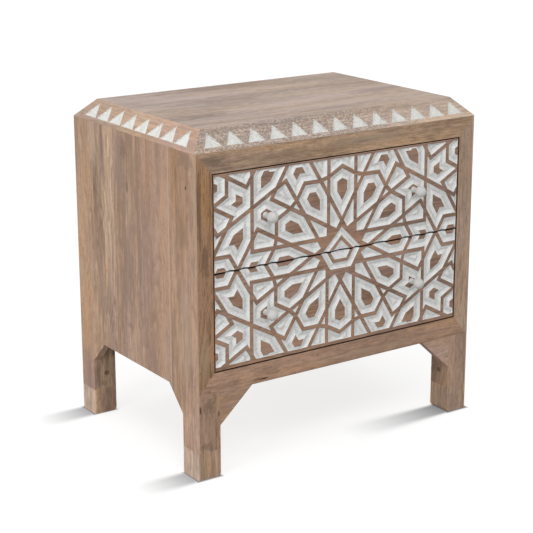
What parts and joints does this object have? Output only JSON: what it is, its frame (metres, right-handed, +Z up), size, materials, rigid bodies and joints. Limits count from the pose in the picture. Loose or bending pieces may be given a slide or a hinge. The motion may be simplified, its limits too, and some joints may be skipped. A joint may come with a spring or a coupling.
{
  "type": "nightstand",
  "caption": "Low wooden nightstand with drawers behind one carved geometric front, a sloped top edge with white triangles and short square legs.",
  "frame": {"origin": "on the floor, under the middle of the whole nightstand, knobs included", "axes": "+Z up, front towards -Y, +X to the right of a person who faces the front"},
  "size_m": [0.61, 0.454, 0.61],
  "materials": {
    "side_wood": "matt clear finish on grey-brown hardwood staves",
    "frame_wood": "matt clear finish on brown hardwood",
    "top_wood": "matt clear finish on grey-beige hardwood",
    "edge_wood": "matt clear finish, with white painted triangles",
    "foot_wood": "matt clear finish on lighter hardwood",
    "inner_wood": "bare sanded hardwood",
    "bottom_board": "bare plywood",
    "plug_wood": "dark wood plugs",
    "carved_front": "white painted grooves and natural wood bands",
    "knob_white": "white painted wood",
    "screw_steel": "zinc plated"
  },
  "bodies": {
    "case": {"left_side_panel": "side_wood", "right_side_panel": "side_wood", "back_panel": "side_wood", "bottom_panel": "bottom_board", "top_panel": "top_wood", "front_edge_piece": "edge_wood", "back_edge_piece": "edge_wood", "left_edge_piece": "edge_wood", "right_edge_piece": "edge_wood", "front_top_rail": "frame_wood", "front_bottom_rail": "frame_wood", "left_stile": "frame_wood", "right_stile": "frame_wood", "left_front_leg_face": "frame_wood", "right_front_leg_face": "frame_wood", "left_bracket": "frame_wood", "right_bracket": "frame_wood", "left_front_leg_block": "frame_wood", "right_front_leg_block": "frame_wood", "left_back_leg_block": "frame_wood", "right_back_leg_block": "frame_wood", "left_front_foot": "foot_wood", "right_front_foot": "foot_wood", "left_back_foot": "foot_wood", "right_back_foot": "foot_wood", "leg_plugs": "plug_wood", "leg_screws": "screw_steel", "left_cleat": "inner_wood", "right_cleat": "inner_wood", "cleat_screws": "screw_steel", "upper_left_runner": "inner_wood", "upper_right_runner": "inner_wood", "lower_left_runner": "inner_wood", "lower_right_runner": "inner_wood", "runner_screws": "screw_steel"},
    "upper_drawer": {"upper_drawer_front": "carved_front", "upper_box_front": "inner_wood", "upper_box_left": "inner_wood", "upper_box_right": "inner_wood", "upper_box_back": "inner_wood", "upper_box_bottom": "bottom_board", "upper_left_knob": "knob_white", "upper_right_knob": "knob_white", "upper_knob_screws": "screw_steel"},
    "lower_drawer": {"lower_drawer_front": "carved_front", "lower_box_front": "inner_wood", "lower_box_left": "inner_wood", "lower_box_right": "inner_wood", "lower_box_back": "inner_wood", "lower_box_bottom": "bottom_board", "lower_left_knob": "knob_white", "lower_right_knob": "knob_white", "lower_knob_screws": "screw_steel"}
  },
  "joints": [
    {"name": "upper_drawer_slide", "type": "slide", "parent": "case", "child": "upper_drawer", "axis": [0, -1, 0], "range_m": [0, 0.28]},
    {"name": "lower_drawer_slide", "type": "slide", "parent": "case", "child": "lower_drawer", "axis": [0, -1, 0], "range_m": [0, 0.28]}
  ]
}
